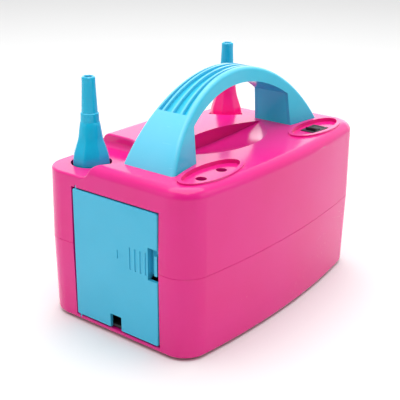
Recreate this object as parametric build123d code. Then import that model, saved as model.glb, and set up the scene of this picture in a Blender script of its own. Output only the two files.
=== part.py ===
from build123d import *
import math
import os

# Twin-nozzle electric balloon inflator: a moulded two-part body with a blower
# inside, a carrying handle, two outlet nozzles and a cord locker behind a door.
# Millimetres.  X runs along the body (the door is on the -X end), -Y is the
# bowed long side, +Y the straight one.  The origin is the middle of the
# footprint, at the level of the surface that the feet stand on.

# ---- body ----
LENGTH = 215.0
DEPTH = 138.4
BOW = 9.4                   # how far the -Y side bulges past its own corners
CORNER_R = 20.0
DRAFT = 1.0                 # degrees, away from the parting line both ways
WALL = 2.5
FOOT_STAND = 1.5            # feet lift the shell off the table by this much
PARTING_Z = 59.4
DECK_Z = 118.3
PAD_DROP = 9.3              # nozzle pads lie this far below the deck
TOP_ROUND = 7.0
PAD_ROUND = 6.0
WELL_R = 33.8               # round step in the deck about each nozzle
STEP_ROUND = 1.5
STEP_COVE = 4.5             # concave sweep from the step's wall into the pad
SEAM_BEVEL = 0.3

# ---- scoop under the handle ----
SCOOP_DEPTH = 11.0
SCOOP_NEAR_R = 66.0         # rim on the -Y side, seen from above
SCOOP_FAR_R = 102.0         # rim on the +Y side
SCOOP_NEAR_Y = -33.0
SCOOP_FAR_Y = 11.6

# ---- oval control cups on the deck ----
CUP_FROM_END = 42.5
CUP_FROM_SIDE = 23.4
CUP_A = 30.8
CUP_B = 13.6
CUP_RIM = 2.9
CUP_RISE = 1.2
CUP_DEPTH = 1.6             # floor below the deck
CUP_HOLE_R = 3.7
CUP_HOLE_SPREAD = 10.8

# ---- handle ----
HANDLE_FROM_END = 18.8      # outer foot of the arch to the end of the body
HANDLE_CROWN_Z = 170.2
HANDLE_NEAR_Y = -33.8       # at the deck
HANDLE_FAR_Y = 9.4
HANDLE_NEAR_LEAN = 0.277    # how fast each side leans in with height
HANDLE_FAR_LEAN = 0.13
HANDLE_SIDE_DRAFT = 0.22    # sides narrow towards the underside
HANDLE_LEG = 31.6           # leg thickness along X where its inner face ends
HANDLE_LEG_DRAFT = 1.2      # inner face steps out by this much down to the deck
HANDLE_GRIP = 10.5          # thickness at the crown
HANDLE_CREASE_DROP = 10.07  # straight inner face ends this far under the arch's outside
HANDLE_WALL = 2.4
HANDLE_CROWN_WALL = 4.6     # thicker over the arch, where the grooves are
HANDLE_ROUND = 2.6
LINER_THICK = 2.0
GROOVE_DEPTH = 2.4
GROOVE_BORDER = 3.4
GROOVE_SPAN = 36.6          # degrees each side of the crown
RIB_COUNT = 3
RIB_WIDTH = 1.5

# ---- screws ----
SCREW_R = 1.6
SCREW_HEAD_R = 3.1
SCREW_HEAD = 2.2
SCREW_GRIP = 12.0           # how far a case screw reaches into the upper shell
SCREW_SHANK = 10.0          # of it in the lower shell's post
POST_R = 4.3
POST_FLOOR = 3.0            # material left over each screw head
HANDLE_POST_R = 4.0
HANDLE_SCREW_GRIP = 14.0
HANDLE_SCREW_IN = 15.5      # from the handle's outer foot
HANDLE_SCREW_SPREAD = 8.5
MOTOR_SCREW_R = 2.0
MOTOR_SCREW_HEAD_R = 3.6
MOTOR_SCREW_HEAD = 2.4
HOLE_EASE = 0.15            # clearance holes over the screw's radius

# ---- feet, air intake and filter in the floor ----
LOWER_ROUND = 2.5
FOOT_R = 7.0
FOOT_SUNK = 1.3
FOOT_FROM_END = 24.0
FOOT_FROM_SIDE = 18.0
FOOT_CUP_R = 4.0
VENT_R = 36.0
VENT_WIDTH = 3.0
VENT_RINGS = 4
FILTER_R = 39.0
FILTER_THICK = 4.0
FILTER_RIB = 1.6
FILTER_RIB_TALL = 3.0

# ---- nozzles ----
NOZZLE_FROM_END = 28.3
NOZZLE_FROM_SIDE = 22.7
BELL_R = 13.5
BELL_SKIRT = 1.6            # how far the bell's foot sits below the pad
BELL_HOLE_GAP = 0.7
BELL_TOP_Z = 138.1
BELL_TOP_R = 6.5
BELL_FLARE = ((0.0, 1.0), (0.12, 0.93), (0.3, 0.74), (0.45, 0.52), (0.62, 0.3), (0.8, 0.15), (1.0, 0.0))
STEM_R = 7.5
STEM_BORE_R = 5.5
STEM_FLANGE_R = 8.6
SPIGOT_R = 4.3
SPIGOT_LENGTH = 12.0
TIP_TOP_Z = 168.9
TIP_MOUTH_R = 4.65
TIP_BORE_R = 2.9
TIP_COLLAR = 6.3
TIP_LAND = 4.0              # straight stretch below the mouth that a balloon's neck grips
TIP_ROOT_R = 5.6
NOZZLE_PRESS = 3.0
STEM_BELOW_LID = 6.0        # the stem's flange hangs this far under the lid's top
SEAL_UP = 5.0               # above the lid's top
SEAL_TALL = 2.0
SEAL_GROOVE = 1.0
SEAL_EASE = 0.02            # the seal is this much smaller than its socket
SPRING_WIRE = 1.4
SPRING_R = 10.6
SPRING_TURNS = 5

# ---- start switch under the left nozzle ----
FINGER_X = 13.0             # from the nozzle's axis
PLUNGER_R = 1.2
PLUNGER_LENGTH = 8.0
START_SWITCH_TALL = 10.2
START_SWITCH_LONG = 20.0
START_SWITCH_HALF_WIDE = 3.2

# ---- door, hinge and latch ----
DOOR_WIDTH = 73.5
DOOR_HEIGHT = 93.5
DOOR_MID_Y = 0.85
DOOR_BOTTOM_Z = 6.3
DOOR_THICK = 2.4
DOOR_INSET = 0.3            # behind the widest point of the end face
DOOR_GAP = 1.1
DOOR_CORNER_R = 1.5
PIN_R = 0.9
PIN_LENGTH = 2.6
PIN_FROM_EDGE = 2.6
PIN_DEEP = 1.6              # pin axis behind the door's outer face
LATCH_Z = 63.9
LATCH_CUT_WIDTH = 7.9
LATCH_CUT_HEIGHT = 22.7
LATCH_TAB_WIDTH = 2.2
LATCH_TAB_HEIGHT = 14.0
LATCH_PLATE_MARGIN = 1.6    # plate beyond the tab, above and below
LATCH_PLATE_THICK = 1.2
LATCH_PLATE_LONG = 15.0
LATCH_RIB = 1.4             # lip and guide ribs behind the door
LATCH_LIP = 2.0             # rib behind the door along the far side of the cut-out
CORD_SLOT_Y = 1.0
CORD_SLOT_WIDTH = 10.0
CORD_SLOT_HEIGHT = 10.5
CORD_SLOT_ROUND = 0.8
GRIP_RIBS = 4
GRIP_RIB_PITCH = 4.45
GRIP_RIB_HEIGHT = 15.6
GRIP_RIB_WIDTH = 1.4
GRIP_RIB_DEPTH = 0.5
ARROW_LONG = 5.0
ARROW_HALF_TALL = 3.2

# ---- cord locker ----
LOCKER_DEEP = 42.0
LOCKER_WALL = 1.8
LOCKER_LEDGE = 3.0          # door overlaps the locker mouth by this much
GLAND_FROM_NEAR = 12.9      # from the locker's near wall
GLAND_Z = 22.0
GLAND_NECK_R = 5.0
GLAND_BORE_R = 3.3
GLAND_FLANGE_R = 7.0
GLAND_FLANGE = 2.0

# ---- rocker switch ----
SWITCH_LENGTH = 19.0
SWITCH_WIDTH = 13.0
SWITCH_LIP = 1.0            # bezel over the edge of its window
SWITCH_WALL = 2.2           # bezel's outside to the rocker's well
SWITCH_DEEP = 14.0
BEZEL_TALL = 0.8
ROCKER_TILT = 9.0           # degrees either side of level
ROCKER_END_Z = 1.7          # above the cup's floor, with the rocker level
ROCKER_MID_Z = 0.7
ROCKER_LOW_Z = -3.0
ROCKER_AXLE_R = 1.5

# ---- blower and motor, one vertical axis ----
MOTOR_X = 25.0
MOTOR_Y = -8.0
HOUSING_R = 52.0
HOUSING_WALL = 2.0
HOUSING_TALL = 22.0
HOUSING_POST_R = 3.6
HOUSING_EAR_R = 4.0
HOUSING_EAR_THICK = 2.5
FAN_PLATE_Z = 10.0          # underside of the fan's inlet plate
FAN_PLATE_THICK = 2.0
INLET_R = 17.0
IMPELLER_R = 43.0
IMPELLER_UP = 3.0           # over the inlet plate
IMPELLER_TALL = 14.0
IMPELLER_DISC = 1.6
HUB_R = 8.0
BLADE_COUNT = 9
BLADE_THICK = 1.4
NUT_R = 5.0
NUT_TALL = 4.0
CUSHION_TALL = 3.0
SHAFT_R = 3.0
STATOR_X = 66.0
STATOR_Y = 54.0
STATOR_BORE_R = 17.0
STATOR_WINDOW = 30.0        # gap in the stack beside each coil
STACK_UP = 13.0             # stack above the bottom bracket
STACK_TALL = 22.0
TOP_BRACKET_UP = 17.5       # top bracket above the stack
BRACKET_THICK = 2.5
BRACKET_POST_R = 5.0
BOTTOM_BEARING_R = 9.5
BOTTOM_BEARING_TALL = 6.0
TOP_BEARING_R = 8.0
TOP_BEARING_TALL = 5.0
ARMATURE_R = 16.5
ARMATURE_SLOTS = 12
COMMUTATOR_R = 10.0
COMMUTATOR_BARS = 24
COMMUTATOR_UP = 5.0         # above the stack
COMMUTATOR_TALL = 10.0
BRUSH_GAP = 0.3
BRUSH_UP = 10.0             # above the stack
BRUSH_HALF = 2.5
BRUSH_LONG = 9.0
BRUSH_COIL_R = 1.6
BRUSH_WIRE_R = 0.3
BRUSH_COIL_PITCH = 1.3
HOLDER_WALL = 1.0
HOLDER_LONG = 15.0

# ---- air chamber along the +Y side ----
CHAMBER_WIDTH = 22.0
CHAMBER_Z = 62.0
CHAMBER_TALL = 22.0
CHAMBER_WALL = 2.0
CHAMBER_CORNER_R = 4.0
SOCKET_TALL = 13.0
PORT_LONG = 22.0            # air passage from the fan, along X
PORT_WIDE = 12.0
GASKET_THICK = 2.0
GASKET_EDGE = 2.0

# ---- fits ----
SLIDE_FIT = 0.08            # radial, parts that slide or turn in each other
CLEAR = 0.3                 # parts that must not touch
SNUG = 0.05                 # seated parts

# ---- worked out once ----
END_X = LENGTH / 2
FAR_Y = DEPTH / 2
SIDE_Y = -DEPTH / 2 + BOW
BODY_Z = FOOT_STAND
PAD_Z = DECK_Z - PAD_DROP
NOZZLE_X = END_X - NOZZLE_FROM_END
NOZZLE_Y = FAR_Y - NOZZLE_FROM_SIDE
CUP_X = END_X - CUP_FROM_END
CUP_Y = -FAR_Y + CUP_FROM_SIDE
CUP_FLOOR_Z = DECK_Z - CUP_DEPTH
HANDLE_X = END_X - HANDLE_FROM_END
HANDLE_RISE = HANDLE_CROWN_Z - DECK_Z
ARCH_R = (HANDLE_X ** 2 + HANDLE_RISE ** 2) / (2 * HANDLE_RISE)
ARCH_Z = HANDLE_CROWN_Z - ARCH_R
LEG_INNER_X = HANDLE_X - HANDLE_LEG
HANDLE_CREASE_Z = ARCH_Z + math.sqrt(ARCH_R ** 2 - LEG_INNER_X ** 2) - HANDLE_CREASE_DROP
DOOR_OUT_X = -END_X + DOOR_INSET
DOOR_IN_X = DOOR_OUT_X + DOOR_THICK
DOOR_NEAR_Y = DOOR_MID_Y - DOOR_WIDTH / 2
DOOR_FAR_Y = DOOR_MID_Y + DOOR_WIDTH / 2
DOOR_TOP_Z = DOOR_BOTTOM_Z + DOOR_HEIGHT
PIN_X = DOOR_OUT_X + PIN_DEEP
PIN_Y = DOOR_FAR_Y - PIN_FROM_EDGE
LOCKER_FRONT_X = DOOR_IN_X + 0.4
LOCKER_BACK_X = LOCKER_FRONT_X + LOCKER_DEEP
LOCKER_NEAR_Y = DOOR_NEAR_Y + LOCKER_LEDGE
LOCKER_FAR_Y = DOOR_FAR_Y - LOCKER_LEDGE - 2 * LOCKER_WALL
LOCKER_LOW_Z = DOOR_BOTTOM_Z + LOCKER_WALL
GLAND_Y = LOCKER_NEAR_Y + GLAND_FROM_NEAR
LOCKER_TOP_Z = DOOR_TOP_Z - LOCKER_LEDGE
CHAMBER_TOP_Z = CHAMBER_Z + CHAMBER_TALL
LID_TOP_Z = CHAMBER_TOP_Z + CHAMBER_WALL
BELL_FOOT_Z = PAD_Z - BELL_SKIRT
FLOOR_Z = BODY_Z + WALL
HANDLE_SCREW_X = HANDLE_X - HANDLE_SCREW_IN
LATCH_PLATE_X = DOOR_IN_X + LATCH_LIP + CLEAR
STEM_LOW_Z = LID_TOP_Z - STEM_BELOW_LID
SEAL_Z = LID_TOP_Z + SEAL_UP
SOCKET_TOP_Z = LID_TOP_Z + SOCKET_TALL
SOCKET_R = STEM_R + SLIDE_FIT
SOCKET_OUT_R = SPRING_R - SPRING_WIRE / 2 - CLEAR
PLUNGER_X = -NOZZLE_X + FINGER_X
PLUNGER_TOP_Z = LID_TOP_Z + START_SWITCH_TALL + NOZZLE_PRESS + 2 * CLEAR
PORT_X = MOTOR_X
HOUSING_Z = FAN_PLATE_Z + FAN_PLATE_THICK
HOUSING_TOP_Z = HOUSING_Z + HOUSING_TALL
IMPELLER_Z = HOUSING_Z + IMPELLER_UP
IMPELLER_TOP_Z = IMPELLER_Z + IMPELLER_TALL
BRACKET_Z = HOUSING_TOP_Z + CUSHION_TALL
STACK_Z = BRACKET_Z + STACK_UP
STACK_TOP_Z = STACK_Z + STACK_TALL
STACK_MID_Z = (STACK_Z + STACK_TOP_Z) / 2
TOP_BRACKET_Z = STACK_TOP_Z + TOP_BRACKET_UP
SHAFT_LOW_Z = IMPELLER_Z - 6.0
SHAFT_HIGH_Z = TOP_BRACKET_Z + BRACKET_THICK + 4.0
BRUSH_Z = STACK_TOP_Z + BRUSH_UP
HOLDER_OUT = COMMUTATOR_R + 2.0

os.makedirs("parts", exist_ok=True)


# ---------------------------------------------------------------- helpers
def save(name, shape):
    export_step(shape, f"parts/{name}.step")


def block(x0, x1, y0, y1, z0, z1):
    return Pos((x0 + x1) / 2, (y0 + y1) / 2, (z0 + z1) / 2) * Box(x1 - x0, y1 - y0, z1 - z0)


def rod(x, y, z0, z1, r):
    return Pos(x, y, (z0 + z1) / 2) * Cylinder(r, z1 - z0)


def tube(x, y, z0, z1, r_out, r_in):
    return rod(x, y, z0, z1, r_out) - rod(x, y, z0 - 1, z1 + 1, r_in)


def rod_x(x0, x1, y, z, r):
    return Pos((x0 + x1) / 2, y, z) * Rot(0, 90, 0) * Cylinder(r, x1 - x0)


def turned(x, y, outline):
    """A solid turned about the vertical axis at x, y from (radius, height) points."""
    points = [Vector(r, 0, z) for r, z in outline]
    face = make_face(Polyline(*points, close=True))
    return Pos(x, y, 0) * revolve(face, Axis.Z)


def oval(x, y, a, b, z0, z1):
    return Pos(x, y, z0) * extrude(Ellipse(a, b), z1 - z0)


def pan_screw(x, y, head_z, tip_z, shank_r, head_r, head_tall):
    """Screw whose head's seat is at head_z; the shank points at tip_z."""
    way = 1 if tip_z > head_z else -1
    low, high = sorted((head_z, tip_z))
    head_low, head_high = sorted((head_z, head_z - way * head_tall))
    head = rod(x, y, head_low, head_high, head_r)
    slot_z = head_low if way > 0 else head_high
    slot = Pos(x, y, slot_z) * (Box(2 * shank_r, 0.7, 1.6) + Box(0.7, 2 * shank_r, 1.6))
    return head + rod(x, y, low, high, shank_r) - slot


# ---------------------------------------------------------------- body shells
def footprint(inset):
    """Plan of the body at the parting line, with the bowed side at -Y."""
    x = END_X - inset
    near = SIDE_Y + inset
    far = FAR_Y - inset
    outline = (
        ThreePointArc((-x, near), (0, near - BOW), (x, near))
        + Line((x, near), (x, far))
        + Line((x, far), (-x, far))
        + Line((-x, far), (-x, near))
    )
    plan = fillet(make_face(outline).vertices(), CORNER_R - inset).face()
    return plan if plan.normal_at().Z > 0 else -plan


def upper_block(inset, top_z, edge_round):
    plan = Pos(0, 0, PARTING_Z) * footprint(inset)
    solid = extrude(plan, top_z - PARTING_Z, taper=DRAFT)
    rim = solid.faces().sort_by(Axis.Z)[-1].edges()
    return fillet(rim, edge_round)


def lower_block(inset, low_z, edge_round):
    plan = Pos(0, 0, PARTING_Z) * -footprint(inset)
    solid = extrude(plan, PARTING_Z - low_z, taper=DRAFT)
    rim = solid.faces().sort_by(Axis.Z)[0].edges()
    return fillet(rim, edge_round)


def wells(grow, low_z, cove):
    """The space cut out of the deck around both nozzles, with a cove along the foot of its wall."""
    radius = WELL_R + grow
    tall = DECK_Z - low_z + 10
    cut = None
    for side in (-1, 1):
        x = side * NOZZLE_X
        corner_x = side * (END_X + 20)
        inner_x = x - side * radius
        plan = Pos(x, NOZZLE_Y) * Circle(radius)
        mid_x = (inner_x + corner_x) / 2
        mid_y = (NOZZLE_Y + FAR_Y + 20) / 2
        plan += Pos(mid_x, mid_y) * Rectangle(abs(corner_x - inner_x), FAR_Y + 20 - NOZZLE_Y)
        well = extrude(Pos(0, 0, low_z) * plan, tall)
        well = fillet(well.faces().sort_by(Axis.Z)[0].edges(), cove)
        cut = well if cut is None else cut + well
    return cut


def scoop(grow):
    """Ball-shaped hollow cut off by an upright curved wall on its far side."""
    ball_y = SCOOP_NEAR_Y + SCOOP_NEAR_R
    wall_reach = SCOOP_FAR_Y - ball_y
    # ball radius that is SCOOP_DEPTH deep at the far wall and meets the deck at the near rim
    chord = SCOOP_NEAR_R ** 2 - wall_reach ** 2
    ball_r = math.sqrt(((chord + SCOOP_DEPTH ** 2) / (2 * SCOOP_DEPTH)) ** 2 + wall_reach ** 2)
    ball_z = DECK_Z + math.sqrt(ball_r ** 2 - SCOOP_NEAR_R ** 2)
    ball = Pos(0, ball_y, ball_z) * Sphere(ball_r + grow)
    wall = Pos(0, SCOOP_FAR_Y - SCOOP_FAR_R, DECK_Z) * Cylinder(SCOOP_FAR_R + grow, 60)
    return ball & wall


def outer_upper():
    deck = upper_block(0, DECK_Z, TOP_ROUND) - wells(0, PAD_Z - 0.01, STEP_COVE)
    body = deck + upper_block(0, PAD_Z, PAD_ROUND)
    return fillet(step_edges(body, DECK_Z), STEP_ROUND)


def step_edges(body, level):
    """Edges at one level that follow the rounded steps about the nozzles."""
    flat = [e for e in body.edges() if abs(e.bounding_box().min.Z - level) < 0.01]
    flat = [e for e in flat if abs(e.bounding_box().max.Z - level) < 0.01]
    return [e for e in flat if is_step(e.center())]


def is_step(point):
    reach = math.hypot(abs(point.X) - NOZZLE_X, point.Y - NOZZLE_Y)
    return reach < WELL_R + 8 and abs(point.X) < NOZZLE_X and point.Y < FAR_Y - 10


def inner_upper():
    deck = upper_block(WALL, DECK_Z - WALL, TOP_ROUND - WALL) - wells(WALL, PAD_Z - WALL - 0.01, STEP_COVE)
    return deck + upper_block(WALL, PAD_Z - WALL, PAD_ROUND - WALL)


def screw_posts():
    near_x = END_X - 13.5
    far_x = END_X - 11.5
    return [
        (-near_x, SIDE_Y + 10.8),
        (near_x, SIDE_Y + 10.8),
        (0, -FAR_Y + 9.2),
        (-far_x, FAR_Y - 11.2),
        (far_x, FAR_Y - 11.2),
        (0, FAR_Y - 7.0),
    ]


def door_opening():
    return block(
        -END_X - 5, -END_X + WALL + 4,
        DOOR_NEAR_Y - DOOR_GAP, DOOR_FAR_Y + DOOR_GAP,
        DOOR_BOTTOM_Z - DOOR_GAP, DOOR_TOP_Z + DOOR_GAP,
    )


def pin_holes():
    """Hinge sockets over and under the door, each with a slit that its pin snaps in through."""
    low = DOOR_BOTTOM_Z - PIN_LENGTH - SNUG
    high = DOOR_TOP_Z + PIN_LENGTH + SNUG
    half_slit = 0.75 * PIN_R
    slit = block(-END_X - 1, PIN_X, PIN_Y - half_slit, PIN_Y + half_slit, low, high)
    return slit + rod(PIN_X, PIN_Y, low, high, PIN_R + SLIDE_FIT)


def seam_bevel(shell):
    """Small bevel round the outside of the parting line."""
    flat = [e for e in shell.edges() if abs(e.center().Z - PARTING_Z) < 0.01]
    edges = [e for e in flat if on_outline(e.center())]
    return chamfer(edges, SEAM_BEVEL)


def on_outline(point):
    """True outside the wall's middle line, so only the outer edges are picked."""
    half_wall = WALL / 2
    bow = BOW * (1 - (point.X / (END_X - CORNER_R)) ** 2)
    beyond_end = abs(point.X) > END_X - half_wall
    beyond_side = point.Y > FAR_Y - half_wall or point.Y < SIDE_Y - max(bow, 0) + half_wall
    corner_x = abs(point.X) - (END_X - CORNER_R)
    corner_y = max(point.Y - (FAR_Y - CORNER_R), (SIDE_Y + CORNER_R) - point.Y)
    in_corner = corner_x > 0 and corner_y > 0
    beyond_corner = in_corner and math.hypot(corner_x, corner_y) > CORNER_R - half_wall
    return beyond_end or beyond_side or beyond_corner


def cup_pad(side):
    """Thick patch of deck that a control cup is sunk into."""
    x = side * CUP_X
    low = CUP_FLOOR_Z - WALL
    body = oval(x, CUP_Y, CUP_A, CUP_B, low, DECK_Z + CUP_RISE)
    return body & upper_block(0, DECK_Z + TOP_ROUND, TOP_ROUND)


def cup_recess(side):
    return oval(side * CUP_X, CUP_Y, CUP_A - CUP_RIM, CUP_B - CUP_RIM, CUP_FLOOR_Z, DECK_Z + 10)


def switch_window():
    half_x = SWITCH_LENGTH / 2 - SWITCH_LIP
    half_y = SWITCH_WIDTH / 2 - SWITCH_LIP
    return block(CUP_X - half_x, CUP_X + half_x, CUP_Y - half_y, CUP_Y + half_y, CUP_FLOOR_Z - 9, DECK_Z)


def handle_screw_places():
    mid = (HANDLE_NEAR_Y + HANDLE_FAR_Y) / 2
    return [
        (side * HANDLE_SCREW_X, mid + offset)
        for side in (-1, 1)
        for offset in (-HANDLE_SCREW_SPREAD, HANDLE_SCREW_SPREAD)
    ]


def upper_shell():
    shell = outer_upper()
    for side in (-1, 1):
        shell += cup_pad(side)
    shell -= scoop(0)
    cavity = inner_upper() - scoop(WALL)
    for side in (-1, 1):
        cavity -= cup_pad(side)
    for x, y in screw_posts():
        cavity -= rod(x, y, PARTING_Z - 1, DECK_Z, POST_R)
    shell -= cavity
    for side in (-1, 1):
        shell -= cup_recess(side)
        shell -= rod(side * NOZZLE_X, NOZZLE_Y, PAD_Z - 9, PAD_Z + 5, BELL_R + BELL_HOLE_GAP)
    for offset in (-CUP_HOLE_SPREAD, CUP_HOLE_SPREAD):
        shell -= rod(-CUP_X + offset, CUP_Y, CUP_FLOOR_Z - 5, DECK_Z, CUP_HOLE_R)
    shell -= switch_window()
    for x, y in handle_screw_places():
        shell -= rod(x, y, DECK_Z - WALL - 3, DECK_Z + 1, SCREW_R + HOLE_EASE)
    for x, y in screw_posts():
        shell -= rod(x, y, PARTING_Z - 1, PARTING_Z + SCREW_GRIP, SCREW_R)
    shell -= door_opening()
    shell -= pin_holes()
    return seam_bevel(shell)



def foot_places():
    x = END_X - FOOT_FROM_END
    near = SIDE_Y + FOOT_FROM_SIDE
    far = FAR_Y - FOOT_FROM_SIDE
    return {
        "foot_near_left": (-x, near),
        "foot_near_right": (x, near),
        "foot_far_left": (-x, far),
        "foot_far_right": (x, far),
    }


def vent_slots():
    """Arc-shaped air slots in the floor, under the fan."""
    pitch = VENT_R / VENT_RINGS
    slots = None
    for ring in range(VENT_RINGS):
        mid_r = pitch * (ring + 0.5)
        arc = tube(MOTOR_X, MOTOR_Y, BODY_Z - 1, FLOOR_Z + 1, mid_r + VENT_WIDTH / 2, mid_r - VENT_WIDTH / 2)
        slots = arc if slots is None else slots + arc
    for angle in (0, 60, 120):
        spoke = Pos(MOTOR_X, MOTOR_Y, BODY_Z) * Rot(0, 0, angle) * Box(2 * VENT_R + 4, 3.0, 4 * WALL)
        slots -= spoke
    return slots


def housing_posts():
    """Posts that carry the fan housing's ears."""
    reach = HOUSING_R + 5.0
    return [
        (MOTOR_X + reach * math.cos(math.radians(a)), MOTOR_Y + reach * math.sin(math.radians(a)))
        for a in (-25, 155, 205, 25)
    ]


def lower_shell():
    shell = lower_block(0, BODY_Z, LOWER_ROUND) - lower_block(WALL, FLOOR_Z, LOWER_ROUND - WALL / 2)
    for x, y in screw_posts():
        shell += rod(x, y, FLOOR_Z - 0.5, PARTING_Z, POST_R)
        shell -= rod(x, y, BODY_Z - 1, PARTING_Z + 1, SCREW_R + HOLE_EASE)
        shell -= rod(x, y, BODY_Z - 1, PARTING_Z - POST_FLOOR - SCREW_SHANK, SCREW_HEAD_R + CLEAR)
    for x, y in housing_posts():
        shell += tube(x, y, FLOOR_Z - 0.5, FAN_PLATE_Z, HOUSING_POST_R, SCREW_R)
    shell += tube(MOTOR_X, MOTOR_Y, FLOOR_Z - 0.5, FLOOR_Z + FILTER_RIB_TALL,
                  FILTER_R + FILTER_RIB + SNUG, FILTER_R + SNUG)
    shell -= vent_slots()
    for x, y in foot_places().values():
        shell -= rod(x, y, BODY_Z - 1, BODY_Z + FOOT_SUNK, FOOT_R + SNUG)
    shell -= door_opening()
    shell -= pin_holes()
    return seam_bevel(shell)


def shell_screws():
    seat = PARTING_Z - POST_FLOOR - SCREW_SHANK
    return Compound(children=[
        pan_screw(x, y, seat, PARTING_Z + SCREW_GRIP - 2, SCREW_R, SCREW_HEAD_R, SCREW_HEAD)
        for x, y in screw_posts()
    ])


def foot(x, y):
    pad = rod(x, y, 0, BODY_Z + FOOT_SUNK, FOOT_R)
    pad = chamfer(pad.faces().sort_by(Axis.Z)[0].edges(), 0.5)
    return pad - rod(x, y, -1, 0.6, FOOT_CUP_R)


def intake_filter():
    return rod(MOTOR_X, MOTOR_Y, FLOOR_Z, FLOOR_Z + FILTER_THICK, FILTER_R)


# ---------------------------------------------------------------- handle
def arch_profile(outer_r, leg_x, crease_z, crown_z, foot_z):
    """Side view of an arch: round outside, straight legs inside that turn into a round crown."""
    outer_x = math.sqrt(outer_r ** 2 - (foot_z - ARCH_Z) ** 2)
    foot_x = leg_x + HANDLE_LEG_DRAFT * (crease_z - foot_z) / (HANDLE_CREASE_Z - DECK_Z)
    outline = (
        ThreePointArc((-outer_x, 0, foot_z), (0, 0, ARCH_Z + outer_r), (outer_x, 0, foot_z))
        + Line((outer_x, 0, foot_z), (foot_x, 0, foot_z))
        + Line((foot_x, 0, foot_z), (leg_x, 0, crease_z))
        + ThreePointArc((leg_x, 0, crease_z), (0, 0, crown_z), (-leg_x, 0, crease_z))
        + Line((-leg_x, 0, crease_z), (-foot_x, 0, foot_z))
        + Line((-foot_x, 0, foot_z), (-outer_x, 0, foot_z))
    )
    return make_face(outline)


def arch_solid(profile, inset):
    """The side view given width, its two sides leaning in with height and drafted."""
    y0 = HANDLE_NEAR_Y - 20
    y1 = HANDLE_FAR_Y + 20
    solid = Pos(0, (y0 + y1) / 2, 0) * extrude(profile, (y1 - y0) / 2, both=True)
    return solid - side_cone(-1, inset) - side_cone(1, inset)


def side_cone(side, inset):
    """Everything beyond one side of the handle, as a flat cone about the arch's centre."""
    lean = HANDLE_FAR_LEAN if side > 0 else HANDLE_NEAR_LEAN
    edge_y = HANDLE_FAR_Y if side > 0 else HANDLE_NEAR_Y
    centre_y = edge_y + side * lean * (DECK_Z - ARCH_Z)
    reach = ARCH_R * HANDLE_SIDE_DRAFT
    tall = 70.0
    base_r = tall / HANDLE_SIDE_DRAFT
    cone = Cone(base_r, 0.01, tall, align=(Align.CENTER, Align.CENTER, Align.MAX))
    tilt = math.degrees(math.atan(lean))
    apex = centre_y - side * (reach + inset)
    turn = Rot(side * (90 + tilt), 0, 0)
    return Pos(0, apex, ARCH_Z) * turn * cone


def handle_body():
    profile = arch_profile(ARCH_R, LEG_INNER_X, HANDLE_CREASE_Z, HANDLE_CROWN_Z - HANDLE_GRIP, DECK_Z - 12)
    solid = arch_solid(profile, 0)
    long_edges = [e for e in solid.edges() if e.length > 200]
    solid = fillet(long_edges, HANDLE_ROUND)
    return solid & block(-END_X, END_X, -DEPTH, DEPTH, DECK_Z, HANDLE_CROWN_Z + 5)


def handle_pocket(outer_r, inset, thickness):
    """Space inside the handle; with a thickness, only a liner along its inner face."""
    crown = HANDLE_CROWN_Z - HANDLE_GRIP
    if thickness is None:
        profile = arch_profile(outer_r, LEG_INNER_X - 5, HANDLE_CREASE_Z - 5, crown - 5, DECK_Z - 5)
        return arch_solid(profile, inset)
    cover = arch_solid(
        arch_profile(outer_r, LEG_INNER_X, HANDLE_CREASE_Z, crown, DECK_Z), inset
    )
    core = arch_profile(outer_r + 20, LEG_INNER_X + thickness, HANDLE_CREASE_Z + thickness / 2,
                        crown + thickness, DECK_Z - 5)
    return cover - arch_solid(core, -20)


def grip_grooves():
    """Grooves that run over the crown, cut apart by thin fanned ribs."""
    floor_r = ARCH_R - GROOVE_DEPTH
    ring = Pos(0, 0, ARCH_Z) * Rot(90, 0, 0) * (Cylinder(ARCH_R + 10, 120) - Cylinder(floor_r, 130))
    half = ARCH_R * 1.5
    sector = make_face(Polyline(
        (0, 0, ARCH_Z),
        (-half * math.sin(math.radians(GROOVE_SPAN)), 0, ARCH_Z + half * math.cos(math.radians(GROOVE_SPAN))),
        (half * math.sin(math.radians(GROOVE_SPAN)), 0, ARCH_Z + half * math.cos(math.radians(GROOVE_SPAN))),
        close=True,
    ))
    band = ring & extrude(sector, 60, both=True)
    band = band - side_cone(-1, GROOVE_BORDER) - side_cone(1, GROOVE_BORDER)
    for number in range(1, RIB_COUNT + 1):
        band -= rib_slab(number / (RIB_COUNT + 1))
    return band


def rib_slab(share):
    """Thin upright sheet that stays the same share of the way across the handle."""
    low_y = HANDLE_NEAR_Y + share * (HANDLE_FAR_Y - HANDLE_NEAR_Y)
    lean = HANDLE_NEAR_LEAN - share * (HANDLE_NEAR_LEAN + HANDLE_FAR_LEAN)
    sheet = Box(2 * ARCH_R, RIB_WIDTH, 4 * HANDLE_RISE)
    return Pos(0, low_y, DECK_Z) * Rot(-math.degrees(math.atan(lean)), 0, 0) * sheet


def handle_top():
    body = handle_body()
    shell = body - handle_pocket(ARCH_R - HANDLE_CROWN_WALL, HANDLE_WALL, None)
    inside = handle_pocket(ARCH_R - 0.5, 0.5, None) & body
    for x, y in handle_screw_places():
        shell += rod(x, y, DECK_Z, HANDLE_CROWN_Z, HANDLE_POST_R) & inside
    for x, y in handle_screw_places():
        shell -= rod(x, y, DECK_Z - 1, DECK_Z + HANDLE_SCREW_GRIP, SCREW_R)
    return shell - grip_grooves()


def handle_underside():
    liner = handle_pocket(ARCH_R - HANDLE_CROWN_WALL - 0.2, HANDLE_WALL + SNUG, LINER_THICK)
    return liner & block(-END_X, END_X, -DEPTH, DEPTH, DECK_Z, HANDLE_CROWN_Z)


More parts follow.
